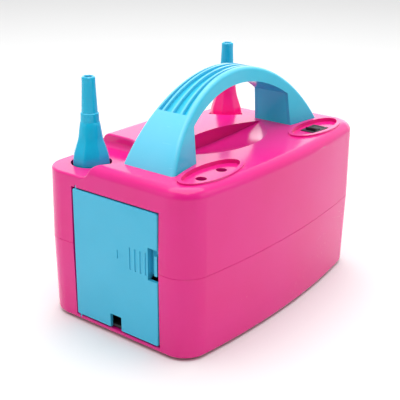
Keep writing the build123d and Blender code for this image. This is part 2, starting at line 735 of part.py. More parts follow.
def handle_screws():
    seat = DECK_Z - WALL
    return Compound(children=[
        pan_screw(x, y, seat, DECK_Z + HANDLE_SCREW_GRIP - 2, SCREW_R, SCREW_HEAD_R, SCREW_HEAD)
        for x, y in handle_screw_places()
    ])


# ---------------------------------------------------------------- nozzles
def bell(side):
    """Flared outlet with a stem that reaches down into the air chamber's socket."""
    rise = BELL_TOP_Z - BELL_FOOT_Z
    spread = BELL_R - BELL_TOP_R
    outer = Spline(*[
        (BELL_TOP_R + opening * spread, 0, BELL_FOOT_Z + share * rise) for share, opening in BELL_FLARE
    ])
    lid_z = CHAMBER_TOP_Z
    outline = (
        outer
        + Polyline(
            (BELL_TOP_R, 0, BELL_TOP_Z),
            (SPIGOT_R, 0, BELL_TOP_Z),
            (SPIGOT_R, 0, BELL_TOP_Z + SPIGOT_LENGTH),
            (TIP_BORE_R, 0, BELL_TOP_Z + SPIGOT_LENGTH),
            (TIP_BORE_R, 0, BELL_TOP_Z - 4),
            (STEM_BORE_R, 0, BELL_FOOT_Z + 4),
            (STEM_BORE_R, 0, STEM_LOW_Z),
            (STEM_FLANGE_R, 0, STEM_LOW_Z),
            (STEM_FLANGE_R, 0, lid_z - 0.1),
            (STEM_R, 0, lid_z - 0.1),
            (STEM_R, 0, BELL_FOOT_Z),
            (BELL_R, 0, BELL_FOOT_Z),
        )
    )
    body = Pos(side * NOZZLE_X, NOZZLE_Y, 0) * revolve(make_face(outline), Axis.Z)
    groove = tube(side * NOZZLE_X, NOZZLE_Y, SEAL_Z, SEAL_Z + SEAL_TALL, STEM_R + 1, STEM_R - SEAL_GROOVE)
    body -= groove
    if side < 0:
        x = side * NOZZLE_X + FINGER_X
        body += block(x - 1.6, x + 0.3, NOZZLE_Y - 2, NOZZLE_Y + 2, PLUNGER_TOP_Z, BELL_FOOT_Z + 1)
    return body


def nozzle_seal(side):
    seal_r = STEM_R + SLIDE_FIT - SEAL_EASE
    return tube(side * NOZZLE_X, NOZZLE_Y, SEAL_Z, SEAL_Z + SEAL_TALL, seal_r, STEM_R - SEAL_GROOVE)


def nozzle_tip(side):
    outline = [
        (SPIGOT_R + SNUG, BELL_TOP_Z),
        (BELL_TOP_R, BELL_TOP_Z),
        (BELL_TOP_R - 0.25, BELL_TOP_Z + TIP_COLLAR - 0.5),
        (TIP_ROOT_R, BELL_TOP_Z + TIP_COLLAR),
        (TIP_MOUTH_R, TIP_TOP_Z - 0.8 - TIP_LAND),
        (TIP_MOUTH_R, TIP_TOP_Z - 0.8),
        (TIP_MOUTH_R - 0.6, TIP_TOP_Z),
        (TIP_BORE_R + 0.4, TIP_TOP_Z),
        (TIP_BORE_R, TIP_TOP_Z - 0.6),
        (TIP_BORE_R, BELL_TOP_Z + SPIGOT_LENGTH + CLEAR),
        (SPIGOT_R + SNUG, BELL_TOP_Z + SPIGOT_LENGTH + CLEAR),
    ]
    return turned(side * NOZZLE_X, NOZZLE_Y, outline)


def nozzle_spring():
    low = LID_TOP_Z + SPRING_WIRE / 2
    tall = BELL_FOOT_Z - LID_TOP_Z - SPRING_WIRE
    path = Helix(tall / SPRING_TURNS, tall, SPRING_R)
    section = Plane(path @ 0, z_dir=path % 0) * Circle(SPRING_WIRE / 2)
    return Pos(-NOZZLE_X, NOZZLE_Y, low) * sweep(section, path, is_frenet=True)


def start_switch_body():
    x0 = PLUNGER_X - PLUNGER_R - 0.35
    z0 = LID_TOP_Z
    body = block(x0, x0 + START_SWITCH_LONG, NOZZLE_Y - START_SWITCH_HALF_WIDE,
                 NOZZLE_Y + START_SWITCH_HALF_WIDE, z0, z0 + START_SWITCH_TALL)
    body = chamfer(body.edges().filter_by(Axis.Z), 0.2)
    low = PLUNGER_TOP_Z - PLUNGER_LENGTH - NOZZLE_PRESS - CLEAR
    body -= rod(PLUNGER_X, NOZZLE_Y, low, z0 + 20, PLUNGER_R + SLIDE_FIT)
    for x in (x0 + 6, x0 + 16):
        body -= Pos(x, NOZZLE_Y, z0 + 3.2) * Rot(90, 0, 0) * Cylinder(1.1, 20)
    return body


def start_switch_button():
    return rod(PLUNGER_X, NOZZLE_Y, PLUNGER_TOP_Z - PLUNGER_LENGTH, PLUNGER_TOP_Z - 0.05, PLUNGER_R)


# ---------------------------------------------------------------- door
def door_panel():
    panel = block(DOOR_OUT_X, DOOR_IN_X, DOOR_NEAR_Y, DOOR_FAR_Y, DOOR_BOTTOM_Z, DOOR_TOP_Z)
    panel = fillet(panel.edges().filter_by(Axis.X), DOOR_CORNER_R)
    panel = chamfer(panel.faces().sort_by(Axis.X)[0].edges(), 0.5)
    return panel


def latch_cut():
    low = LATCH_Z - LATCH_CUT_HEIGHT / 2
    return block(DOOR_OUT_X - 1, DOOR_IN_X + 1, DOOR_NEAR_Y - 1, DOOR_NEAR_Y + LATCH_CUT_WIDTH,
                 low, low + LATCH_CUT_HEIGHT)


def cord_slot():
    half = CORD_SLOT_WIDTH / 2
    low = DOOR_BOTTOM_Z - 1
    top = DOOR_BOTTOM_Z + CORD_SLOT_HEIGHT
    slot = block(DOOR_OUT_X - 1, DOOR_IN_X + 1, CORD_SLOT_Y - half, CORD_SLOT_Y + half, low, top)
    return fillet([e for e in slot.edges().filter_by(Axis.X) if e.center().Z > top - 1], CORD_SLOT_ROUND)


def grip_lines():
    """Short upright grooves beside the latch, and a plain arrow pointing at it."""
    mid_z = LATCH_Z - 0.7
    half = GRIP_RIB_HEIGHT / 2
    half_wide = GRIP_RIB_WIDTH / 2
    first_y = DOOR_NEAR_Y + LATCH_CUT_WIDTH + 1.6
    lines = None
    for number in range(GRIP_RIBS):
        y = first_y + number * GRIP_RIB_PITCH
        line = block(DOOR_OUT_X - 1, DOOR_OUT_X + GRIP_RIB_DEPTH, y - half_wide, y + half_wide,
                     mid_z - half, mid_z + half)
        lines = line if lines is None else lines + line
    tip_y = first_y + GRIP_RIBS * GRIP_RIB_PITCH + 2
    head = make_face(Polyline(
        (DOOR_OUT_X - 1, tip_y, mid_z),
        (DOOR_OUT_X - 1, tip_y + ARROW_LONG, mid_z + ARROW_HALF_TALL),
        (DOOR_OUT_X - 1, tip_y + ARROW_LONG, mid_z - ARROW_HALF_TALL),
        close=True,
    ))
    return lines + extrude(head, 1 + GRIP_RIB_DEPTH, dir=(1, 0, 0))


def door():
    panel = door_panel() - latch_cut() - cord_slot() - grip_lines()
    for z0, z1 in ((DOOR_BOTTOM_Z - PIN_LENGTH, DOOR_BOTTOM_Z + 2), (DOOR_TOP_Z - 2, DOOR_TOP_Z + PIN_LENGTH)):
        panel += rod(PIN_X, PIN_Y, z0, z1, PIN_R)
    lip_y = DOOR_NEAR_Y + LATCH_CUT_WIDTH
    lip_half = LATCH_CUT_HEIGHT / 2
    panel += block(DOOR_IN_X - 0.5, DOOR_IN_X + LATCH_LIP, lip_y, lip_y + LATCH_RIB,
                   LATCH_Z - lip_half, LATCH_Z + lip_half)
    guide_z = LATCH_TAB_HEIGHT / 2 + LATCH_PLATE_MARGIN + CLEAR + LATCH_RIB / 2
    for way in (-1, 1):
        z = LATCH_Z + way * guide_z
        panel += block(DOOR_IN_X - 0.5, LATCH_PLATE_X + LATCH_PLATE_THICK, lip_y, lip_y + 8,
                       z - LATCH_RIB / 2, z + LATCH_RIB / 2)
    return panel


def door_latch():
    """Sliding tab seen in the door's cut-out, on a plate behind the door."""
    half = LATCH_TAB_HEIGHT / 2
    plate_half = half + LATCH_PLATE_MARGIN
    back_x = LATCH_PLATE_X
    tab = block(DOOR_OUT_X + 0.2, back_x + 0.6, DOOR_NEAR_Y + 0.4, DOOR_NEAR_Y + 0.4 + LATCH_TAB_WIDTH,
                LATCH_Z - half, LATCH_Z + half)
    plate = block(back_x, back_x + LATCH_PLATE_THICK, DOOR_NEAR_Y + 0.2, DOOR_NEAR_Y + LATCH_PLATE_LONG,
                  LATCH_Z - plate_half, LATCH_Z + plate_half)
    return tab + plate


# ---------------------------------------------------------------- cord locker
def cord_box():
    back = LOCKER_BACK_X
    body = block(LOCKER_FRONT_X, back, LOCKER_NEAR_Y - LOCKER_WALL, LOCKER_FAR_Y + LOCKER_WALL,
                 LOCKER_LOW_Z - LOCKER_WALL, LOCKER_TOP_Z + LOCKER_WALL)
    flange_far = DOOR_FAR_Y + DOOR_GAP + 1.5
    trough_x = PIN_X + PIN_FROM_EDGE + 1.4
    body += block(trough_x, trough_x + LOCKER_WALL, LOCKER_FAR_Y, flange_far,
                  LOCKER_LOW_Z - LOCKER_WALL, LOCKER_TOP_Z + LOCKER_WALL)
    body -= block(LOCKER_FRONT_X - 1, back - LOCKER_WALL, LOCKER_NEAR_Y, LOCKER_FAR_Y, LOCKER_LOW_Z, LOCKER_TOP_Z)
    body -= block(LOCKER_FRONT_X - 1, trough_x, LOCKER_FAR_Y - 0.1, flange_far + 5,
                  DOOR_BOTTOM_Z - 10, DOOR_TOP_Z + 10)
    notch_half = LATCH_CUT_HEIGHT / 2 + LATCH_PLATE_MARGIN
    body -= block(LOCKER_FRONT_X - 1, LATCH_PLATE_X + LATCH_PLATE_THICK + 2 * CLEAR, DOOR_NEAR_Y - 1,
                  LOCKER_NEAR_Y + 1, LATCH_Z - notch_half, LATCH_Z + notch_half)
    return body - rod_x(back - 5, back + 5, GLAND_Y, GLAND_Z, GLAND_NECK_R)


def cord_gland():
    """Rubber bush that the cord passes through on its way into the motor room."""
    back = LOCKER_BACK_X
    front = back - LOCKER_WALL
    bush = rod_x(front, back, GLAND_Y, GLAND_Z, GLAND_NECK_R)
    bush += rod_x(front - GLAND_FLANGE, front, GLAND_Y, GLAND_Z, GLAND_FLANGE_R)
    bush += rod_x(back, back + GLAND_FLANGE, GLAND_Y, GLAND_Z, GLAND_FLANGE_R)
    return bush - rod_x(front - 5, back + 5, GLAND_Y, GLAND_Z, GLAND_BORE_R)


# ---------------------------------------------------------------- rocker switch
def switch_body():
    half_x = SWITCH_LENGTH / 2
    half_y = SWITCH_WIDTH / 2
    low = CUP_FLOOR_Z - SWITCH_DEEP
    well_x = half_x - SWITCH_WALL
    well_y = half_y - SWITCH_WALL
    neck_x = half_x - SWITCH_LIP - SNUG
    neck_y = half_y - SWITCH_LIP - SNUG
    body = block(CUP_X - neck_x, CUP_X + neck_x, CUP_Y - neck_y, CUP_Y + neck_y, low, CUP_FLOOR_Z + 0.2)
    bezel = block(CUP_X - half_x, CUP_X + half_x, CUP_Y - half_y, CUP_Y + half_y,
                  CUP_FLOOR_Z, CUP_FLOOR_Z + BEZEL_TALL)
    bezel = chamfer(bezel.faces().sort_by(Axis.Z)[-1].edges(), 0.4)
    body += bezel
    body -= block(CUP_X - well_x, CUP_X + well_x, CUP_Y - well_y, CUP_Y + well_y,
                  CUP_FLOOR_Z - 8, CUP_FLOOR_Z + 5)
    for x in (-5, 0, 5):
        body += block(CUP_X + x - 0.4, CUP_X + x + 0.4, CUP_Y - 2.3, CUP_Y + 2.3, low - 6, low)
    return body


def switch_rocker():
    """Rocker drawn at rest in its off position, tilted about an axis along Y."""
    long_half = SWITCH_LENGTH / 2 - SWITCH_WALL - 0.5
    low_half = long_half - 1.2
    wide_half = SWITCH_WIDTH / 2 - SWITCH_WALL - CLEAR
    outline = (
        ThreePointArc((-long_half, 0, ROCKER_END_Z), (0, 0, ROCKER_MID_Z), (long_half, 0, ROCKER_END_Z))
        + Polyline((long_half, 0, ROCKER_END_Z), (low_half, 0, ROCKER_LOW_Z),
                   (-low_half, 0, ROCKER_LOW_Z), (-long_half, 0, ROCKER_END_Z))
    )
    key = extrude(make_face(outline), wide_half, both=True)
    key += Rot(90, 0, 0) * Cylinder(ROCKER_AXLE_R, 2 * wide_half)
    return Pos(CUP_X, CUP_Y, CUP_FLOOR_Z) * Rot(0, ROCKER_TILT, 0) * key


# ---------------------------------------------------------------- air chamber
def chamber_span(inset):
    reach = NOZZLE_X + CHAMBER_WIDTH / 2 - inset
    half = CHAMBER_WIDTH / 2 - inset
    return -reach, reach, NOZZLE_Y - half, NOZZLE_Y + half


def air_chamber():
    body = block(*chamber_span(0), CHAMBER_Z, CHAMBER_TOP_Z)
    body = fillet(body.edges().filter_by(Axis.Z), CHAMBER_CORNER_R)
    hollow = block(*chamber_span(CHAMBER_WALL), CHAMBER_Z + CHAMBER_WALL, CHAMBER_TOP_Z + 1)
    body -= fillet(hollow.edges().filter_by(Axis.Z), CHAMBER_CORNER_R - CHAMBER_WALL / 2)
    half_x = PORT_LONG / 2
    half_y = PORT_WIDE / 2
    return body - block(PORT_X - half_x, PORT_X + half_x, NOZZLE_Y - half_y, NOZZLE_Y + half_y,
                        CHAMBER_Z - 1, CHAMBER_Z + CHAMBER_WALL + 1)


def air_chamber_lid():
    lid = block(*chamber_span(0), CHAMBER_TOP_Z, LID_TOP_Z)
    lid = fillet(lid.edges().filter_by(Axis.Z), CHAMBER_CORNER_R)
    for side in (-1, 1):
        lid += rod(side * NOZZLE_X, NOZZLE_Y, LID_TOP_Z, SOCKET_TOP_Z, SOCKET_OUT_R)
        lid -= rod(side * NOZZLE_X, NOZZLE_Y, CHAMBER_TOP_Z - 1, SOCKET_TOP_Z + 1, SOCKET_R)
    return lid


def port_gasket():
    """Foam frame between the fan housing's outlet and the air chamber."""
    half_x = PORT_LONG / 2
    half_y = PORT_WIDE / 2
    low = CHAMBER_Z - GASKET_THICK
    frame = block(PORT_X - half_x - GASKET_EDGE, PORT_X + half_x + GASKET_EDGE,
                  NOZZLE_Y - half_y - GASKET_EDGE, NOZZLE_Y + half_y + GASKET_EDGE, low, CHAMBER_Z)
    return frame - block(PORT_X - half_x, PORT_X + half_x, NOZZLE_Y - half_y, NOZZLE_Y + half_y,
                         low - 1, CHAMBER_Z + 1)



# ---------------------------------------------------------------- fan
def at_motor(shape):
    return Pos(MOTOR_X, MOTOR_Y, 0) * shape


def motor_rod(z0, z1, r):
    return rod(MOTOR_X, MOTOR_Y, z0, z1, r)


def motor_tube(z0, z1, r_out, r_in):
    return tube(MOTOR_X, MOTOR_Y, z0, z1, r_out, r_in)


def ears(z0, z1, hole_r):
    """Lugs that sit on the housing posts."""
    lugs = None
    for x, y in housing_posts():
        angle = math.degrees(math.atan2(y - MOTOR_Y, x - MOTOR_X))
        arm = Pos(MOTOR_X, MOTOR_Y, (z0 + z1) / 2) * Rot(0, 0, angle) * Pos(HOUSING_R, 0, 0) * Box(10, 8, z1 - z0)
        lug = rod(x, y, z0, z1, HOUSING_EAR_R) + arm
        lugs = lug if lugs is None else lugs + lug
    for x, y in housing_posts():
        lugs -= rod(x, y, z0 - 1, z1 + 1, hole_r)
    return lugs


def fan_inlet_plate():
    plate = motor_rod(FAN_PLATE_Z, HOUSING_Z, HOUSING_R) + ears(FAN_PLATE_Z, HOUSING_Z, SCREW_R + HOLE_EASE)
    plate += block(duct_low_x(), duct_high_x(), MOTOR_Y, duct_far_y(), FAN_PLATE_Z, HOUSING_Z)
    return plate - motor_rod(FAN_PLATE_Z - 1, HOUSING_Z + 1, INLET_R)


def duct_low_x():
    return PORT_X - PORT_LONG / 2 - HOUSING_WALL


def duct_high_x():
    return PORT_X + PORT_LONG / 2 + HOUSING_WALL


def duct_far_y():
    return NOZZLE_Y + PORT_WIDE / 2 + HOUSING_WALL


def duct_near_y():
    return NOZZLE_Y - PORT_WIDE / 2 - HOUSING_WALL


def fan_housing():
    """Round fan case with a square duct that climbs to the air chamber."""
    w = HOUSING_WALL
    duct_top = CHAMBER_Z - GASKET_THICK
    body = motor_rod(HOUSING_Z, HOUSING_TOP_Z, HOUSING_R)
    body += block(duct_low_x(), duct_high_x(), MOTOR_Y, duct_far_y(), HOUSING_Z, HOUSING_TOP_Z)
    body += block(duct_low_x(), duct_high_x(), duct_near_y(), duct_far_y(), HOUSING_Z, duct_top)
    hollow = motor_rod(HOUSING_Z - 1, HOUSING_TOP_Z - w, HOUSING_R - w)
    hollow += block(duct_low_x() + w, duct_high_x() - w, MOTOR_Y, duct_far_y() - w,
                    HOUSING_Z - 1, HOUSING_TOP_Z - w)
    hollow += block(duct_low_x() + w, duct_high_x() - w, duct_near_y() + w, duct_far_y() - w,
                    HOUSING_Z - 1, duct_top + 1)
    body -= hollow
    body += ears(HOUSING_Z, HOUSING_Z + HOUSING_EAR_THICK, SCREW_R + HOLE_EASE)
    return body - motor_rod(HOUSING_TOP_Z - w - 1, HOUSING_TOP_Z + 1, BOTTOM_BEARING_R + 3)


def housing_screws():
    seat = HOUSING_Z + HOUSING_EAR_THICK
    return Compound(children=[
        pan_screw(x, y, seat, FLOOR_Z + 1.0, SCREW_R - 0.02, SCREW_HEAD_R, SCREW_HEAD)
        for x, y in housing_posts()
    ])


def impeller():
    top = IMPELLER_TOP_Z
    wheel = rod(0, 0, top - IMPELLER_DISC, top, IMPELLER_R)
    wheel += rod(0, 0, IMPELLER_Z, top, HUB_R)
    wheel += tube(0, 0, IMPELLER_Z, IMPELLER_Z + BLADE_THICK, IMPELLER_R, INLET_R + 2)
    for number in range(BLADE_COUNT):
        wheel += Rot(0, 0, number * 360 / BLADE_COUNT) * blade(IMPELLER_Z, top)
    return at_motor(wheel - rod(0, 0, IMPELLER_Z - 1, top + 1, SHAFT_R))


def blade(z0, z1):
    """One backward-curved blade, from the hub to the rim."""
    sweep_r = IMPELLER_R * 0.62
    curve = Pos(HUB_R + sweep_r - 3, 0, 0) * (Circle(sweep_r) - Circle(sweep_r - BLADE_THICK))
    upper = Pos(IMPELLER_R / 2, IMPELLER_R / 2, 0) * Rectangle(IMPELLER_R, IMPELLER_R)
    strip = curve & upper & Circle(IMPELLER_R - 0.5)
    return Pos(0, 0, z0 + 0.5) * extrude(strip, z1 - z0 - 1)


def impeller_nut():
    nut = extrude(RegularPolygon(NUT_R, 6), NUT_TALL)
    nut = Pos(0, 0, SHAFT_LOW_Z + 1.6) * nut
    return at_motor(nut - rod(0, 0, SHAFT_LOW_Z - 1, IMPELLER_Z + 1, SHAFT_R))


# ---------------------------------------------------------------- motor
def motor_shaft():
    shaft = rod(0, 0, SHAFT_LOW_Z, SHAFT_HIGH_Z, SHAFT_R)
    ends = [e for e in shaft.edges() if e.geom_type == GeomType.CIRCLE]
    return at_motor(chamfer(ends, 0.6))


def armature_core():
    """Slotted steel stack on the shaft."""
    core = rod(0, 0, STACK_Z, STACK_TOP_Z, ARMATURE_R) - rod(0, 0, STACK_Z - 1, STACK_Z + 40, SHAFT_R)
    for number in range(ARMATURE_SLOTS):
        slot = Pos(ARMATURE_R - 2.6, 0, STACK_MID_Z) * Box(7, 1.6, STACK_TALL + 2)
        core -= Rot(0, 0, number * 360 / ARMATURE_SLOTS) * slot
    return at_motor(core)


def armature_windings():
    """Copper end turns above and below the stack."""
    inner = SHAFT_R + 1.2
    outer = ARMATURE_R - 2.0
    low = tube(0, 0, STACK_Z - 5.5, STACK_Z, outer, inner)
    high = tube(0, 0, STACK_TOP_Z, STACK_TOP_Z + 4.5, outer, inner)
    return Compound(children=[at_motor(rounded_ring(low)), at_motor(rounded_ring(high))])


def rounded_ring(ring):
    rims = [e for e in ring.edges() if e.geom_type == GeomType.CIRCLE and e.radius > ARMATURE_R / 2]
    return fillet(rims, 1.4)


def commutator():
    low = STACK_TOP_Z + COMMUTATOR_UP
    body = tube(0, 0, low, low + COMMUTATOR_TALL, COMMUTATOR_R, SHAFT_R)
    for number in range(COMMUTATOR_BARS):
        slit = Pos(COMMUTATOR_R, 0, low + COMMUTATOR_TALL / 2) * Box(1.4, 0.5, COMMUTATOR_TALL + 2)
        body -= Rot(0, 0, number * 360 / COMMUTATOR_BARS) * slit
    return at_motor(body)


def bearing(z0, tall, outer_r):
    """Sleeve bearing block with rounded shoulders."""
    body = tube(0, 0, z0, z0 + tall, outer_r, SHAFT_R + SLIDE_FIT)
    rims = [e for e in body.edges() if e.geom_type == GeomType.CIRCLE and e.radius > SHAFT_R + 1]
    return at_motor(chamfer(rims, 0.5))


def bottom_bearing():
    return bearing(BRACKET_Z, BOTTOM_BEARING_TALL, BOTTOM_BEARING_R)


def top_bearing():
    return bearing(TOP_BRACKET_Z - TOP_BEARING_TALL + BRACKET_THICK, TOP_BEARING_TALL, TOP_BEARING_R)


def stator_core():
    """Steel field stack with a round bore and open sides for the coils."""
    core = Pos(0, 0, STACK_MID_Z) * Box(STATOR_X, STATOR_Y, STACK_TALL)
    core = fillet(core.edges().filter_by(Axis.Z), 6)
    core -= rod(0, 0, STACK_Z - 1, STACK_TOP_Z + 1, STATOR_BORE_R)
    for way in (-1, 1):
        window = Pos(0, way * (STATOR_BORE_R - 1), STACK_MID_Z) * Box(STATOR_WINDOW, 9, STACK_TALL + 2)
        core -= window
    for x, y in motor_screw_places():
        core -= rod(x, y, STACK_Z - 1, STACK_TOP_Z + 1, MOTOR_SCREW_R + HOLE_EASE)
    return at_motor(core)


def motor_screw_places():
    return [(-STATOR_X / 2 + 6.5, 0), (STATOR_X / 2 - 6.5, 0)]


def field_coils():
    """Two saddle coils, seen above and below the stack on the Y sides."""
    coils = []
    for way in (-1, 1):
        for z0 in (STACK_Z - 6, STACK_TOP_Z):
            coil = Pos(0, way * (STATOR_BORE_R + 1.5), z0 + 3) * Box(34, 6, 6)
            coils.append(at_motor(fillet(coil.edges().filter_by(Axis.X), 2)))
    return Compound(children=coils)


def bottom_bracket():
    plate = Pos(0, 0, BRACKET_Z + BRACKET_THICK / 2) * Box(STATOR_X, 26, BRACKET_THICK)
    plate = fillet(plate.edges().filter_by(Axis.Z), 5)
    plate += rod(0, 0, BRACKET_Z, BRACKET_Z + BOTTOM_BEARING_TALL, BOTTOM_BEARING_R + 2)
    for x, y in motor_screw_places():
        plate += rod(x, y, BRACKET_Z, STACK_Z, BRACKET_POST_R)
        plate -= rod(x, y, BRACKET_Z - 1, STACK_Z + 1, MOTOR_SCREW_R + 0.02)
    return at_motor(plate - rod(0, 0, BRACKET_Z - 1, STACK_Z, BOTTOM_BEARING_R))


def top_bracket():
    plate = Pos(0, 0, TOP_BRACKET_Z + BRACKET_THICK / 2) * Box(STATOR_X, 22, BRACKET_THICK)
    plate = fillet(plate.edges().filter_by(Axis.Z), 5)
    plate += rod(0, 0, TOP_BRACKET_Z - TOP_BEARING_TALL + BRACKET_THICK, TOP_BRACKET_Z, TOP_BEARING_R + 2)
    for x, y in motor_screw_places():
        plate += rod(x, y, STACK_TOP_Z, TOP_BRACKET_Z, BRACKET_POST_R)
        plate -= rod(x, y, STACK_Z, TOP_BRACKET_Z + 5, MOTOR_SCREW_R + HOLE_EASE)
    return at_motor(plate - rod(0, 0, TOP_BRACKET_Z - 10, TOP_BRACKET_Z + 5, TOP_BEARING_R))


def motor_screws():
    seat = TOP_BRACKET_Z + BRACKET_THICK
    return Compound(children=[
        pan_screw(MOTOR_X + x, MOTOR_Y + y, seat, BRACKET_Z + 0.5, MOTOR_SCREW_R,
                  MOTOR_SCREW_HEAD_R, MOTOR_SCREW_HEAD)
        for x, y in motor_screw_places()
    ])


def motor_cushion():
    """Rubber ring that keeps the motor's hum out of the fan housing."""
    ring = motor_tube(HOUSING_TOP_Z, BRACKET_Z, BOTTOM_BEARING_R + 9, BOTTOM_BEARING_R + 3)
    return chamfer(ring.edges(), 0.4)


def along_y(way, start, end, half_x, half_z):
    """Bar on the brush axis, from start to end measured away from the shaft."""
    low, high = sorted((way * start, way * end))
    bar = block(-half_x, half_x, low, high, BRUSH_Z - half_z, BRUSH_Z + half_z)
    return at_motor(bar)


def carbon_brush(way):
    start = COMMUTATOR_R - 1
    bar = along_y(way, start, COMMUTATOR_R + BRUSH_LONG, BRUSH_HALF, BRUSH_HALF)
    return bar - motor_rod(BRUSH_Z - 10, BRUSH_Z + 10, COMMUTATOR_R + BRUSH_GAP)


def brush_spring(way):
    """Coil spring that presses the brush, between it and the holder's end cap."""
    start = COMMUTATOR_R + BRUSH_LONG + 0.35
    tall = HOLDER_OUT + HOLDER_LONG - HOLDER_WALL - start - 0.7
    path = Helix(BRUSH_COIL_PITCH, tall, BRUSH_COIL_R)
    section = Plane(path @ 0, z_dir=path % 0) * Circle(BRUSH_WIRE_R)
    coil = sweep(section, path, is_frenet=True)
    turn = Rot(-90, 0, 0) if way > 0 else Rot(90, 0, 0)
    return Pos(MOTOR_X, MOTOR_Y + way * start, BRUSH_Z) * turn * coil


def brush_holder(way):
    end = HOLDER_OUT + HOLDER_LONG
    half = BRUSH_HALF + SNUG + HOLDER_WALL
    case = along_y(way, HOLDER_OUT, end, half, half)
    case -= along_y(way, HOLDER_OUT - 1, end - HOLDER_WALL, BRUSH_HALF + SNUG, BRUSH_HALF + SNUG)
    tower_z = STACK_TOP_Z + 6.0
    low, high = sorted((way * (STATOR_BORE_R - 0.5), way * (STATOR_BORE_R + 6.0)))
    foot_block = at_motor(block(-half, half, low, high, tower_z, BRUSH_Z - half))
    return case + foot_block


# ---------------------------------------------------------------- write the parts
PARTS = {
    "upper_shell": upper_shell,
    "lower_shell": lower_shell,
    "shell_screws": shell_screws,
    "intake_filter": intake_filter,
    "handle_top": handle_top,
    "handle_underside": handle_underside,
    "handle_screws": handle_screws,
    "nozzle_spring": nozzle_spring,
    "start_switch_body": start_switch_body,
    "start_switch_button": start_switch_button,
    "door": door,
    "door_latch": door_latch,
    "cord_box": cord_box,
    "cord_gland": cord_gland,
    "switch_body": switch_body,
    "switch_rocker": switch_rocker,
    "air_chamber": air_chamber,
    "air_chamber_lid": air_chamber_lid,
    "port_gasket": port_gasket,
    "fan_inlet_plate": fan_inlet_plate,
    "fan_housing": fan_housing,
    "housing_screws": housing_screws,
    "impeller": impeller,
    "impeller_nut": impeller_nut,
    "motor_shaft": motor_shaft,
    "armature_core": armature_core,
    "armature_windings": armature_windings,
    "commutator": commutator,
    "bottom_bearing": bottom_bearing,
    "top_bearing": top_bearing,
    "stator_core": stator_core,
    "field_coils": field_coils,
    "motor_bottom_bracket": bottom_bracket,
    "motor_top_bracket": top_bracket,
    "motor_screws": motor_screws,
    "motor_cushion": motor_cushion,
}

for name, make in PARTS.items():
    save(name, make())

for side, word in ((-1, "left"), (1, "right")):
    save(f"{word}_nozzle_bell", bell(side))
    save(f"{word}_nozzle_tip", nozzle_tip(side))
    save(f"{word}_nozzle_seal", nozzle_seal(side))

for way, word in ((-1, "near"), (1, "far")):
    save(f"{word}_brush", carbon_brush(way))
    save(f"{word}_brush_holder", brush_holder(way))
    save(f"{word}_brush_spring", brush_spring(way))

for name, (x, y) in foot_places().items():
    save(name, foot(x, y))
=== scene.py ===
"""Looks of a table-top electric balloon inflator: pink case, blue carrying handle, two push-on nozzles."""

from math import atan2, cos, hypot, pi, radians

import bmesh
import bpy
from mathutils import Euler, Matrix, Vector


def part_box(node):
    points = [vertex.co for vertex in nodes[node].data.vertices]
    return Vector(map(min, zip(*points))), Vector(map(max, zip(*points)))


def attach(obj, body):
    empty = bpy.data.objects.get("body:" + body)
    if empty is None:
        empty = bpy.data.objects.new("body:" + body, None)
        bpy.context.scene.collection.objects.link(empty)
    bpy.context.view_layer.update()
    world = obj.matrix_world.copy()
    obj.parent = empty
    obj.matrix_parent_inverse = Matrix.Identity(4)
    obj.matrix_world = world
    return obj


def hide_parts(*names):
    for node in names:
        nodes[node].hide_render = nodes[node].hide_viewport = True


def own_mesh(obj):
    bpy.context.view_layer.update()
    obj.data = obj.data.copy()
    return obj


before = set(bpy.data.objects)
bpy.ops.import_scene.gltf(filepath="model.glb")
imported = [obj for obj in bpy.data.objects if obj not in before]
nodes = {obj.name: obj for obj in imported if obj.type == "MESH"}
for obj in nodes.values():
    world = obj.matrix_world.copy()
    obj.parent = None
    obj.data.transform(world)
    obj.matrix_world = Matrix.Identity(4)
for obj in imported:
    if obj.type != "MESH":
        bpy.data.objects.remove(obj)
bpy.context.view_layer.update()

MM = 0.001

# ---------------------------------------------------------------- colours, linear light

PINK = (0.780, 0.012, 0.250, 1.0)
PINK_DEEP = (0.740, 0.005, 0.170, 1.0)
BLUE = (0.060, 0.500, 0.740, 1.0)
BLUE_DEEP = (0.010, 0.400, 0.620, 1.0)
# handle top: its own blue, lightened by a painted highlight that stands in for the white sheen on its top
HANDLE_BLUE_AND_HIGHLIGHT = (0.150, 0.610, 0.840, 1.0)
# deep tint of the liner's flow clouds, and the painted shade colour of the handle's groove floors and inner
# faces
GROOVE_SHADE_AND_CLOUD_BLUE = (0.012, 0.540, 0.740, 1.0)
# handle underside: a lighter, greener copy of the handle blue, painted light that makes up for the dim pink
# light under the arch
UNDERSIDE_PAINTED_LIGHT_BLUE = (0.030, 0.680, 0.840, 1.0)
BELL_PINK = (0.900, 0.008, 0.240, 1.0)
# nozzle: a deeper, more saturated copy of the blue plastic, partly the moulding's own tint and partly painted
# shade
TEAL = (0.001, 0.480, 0.730, 1.0)
TEAL_DEEP = (0.001, 0.300, 0.500, 1.0)
BLACK = (0.012, 0.012, 0.014, 1.0)
CHARCOAL = (0.034, 0.034, 0.038, 1.0)
GREY = (0.270, 0.280, 0.300, 1.0)
GREY_DEEP = (0.200, 0.210, 0.230, 1.0)
WHITE = (0.690, 0.690, 0.660, 1.0)
WHITE_DEEP = (0.600, 0.595, 0.560, 1.0)
STEEL = (0.600, 0.605, 0.620, 1.0)
STEEL_DEEP = (0.330, 0.330, 0.345, 1.0)
LAMINATION = (0.250, 0.250, 0.265, 1.0)
LAMINATION_DEEP = (0.060, 0.056, 0.055, 1.0)
COPPER = (0.620, 0.180, 0.060, 1.0)
COPPER_DEEP = (0.230, 0.050, 0.018, 1.0)
BRONZE = (0.480, 0.270, 0.095, 1.0)
BRONZE_DEEP = (0.210, 0.105, 0.040, 1.0)
FLOOR = (0.800, 0.800, 0.800, 1.0)


# ---------------------------------------------------------------- shader expressions


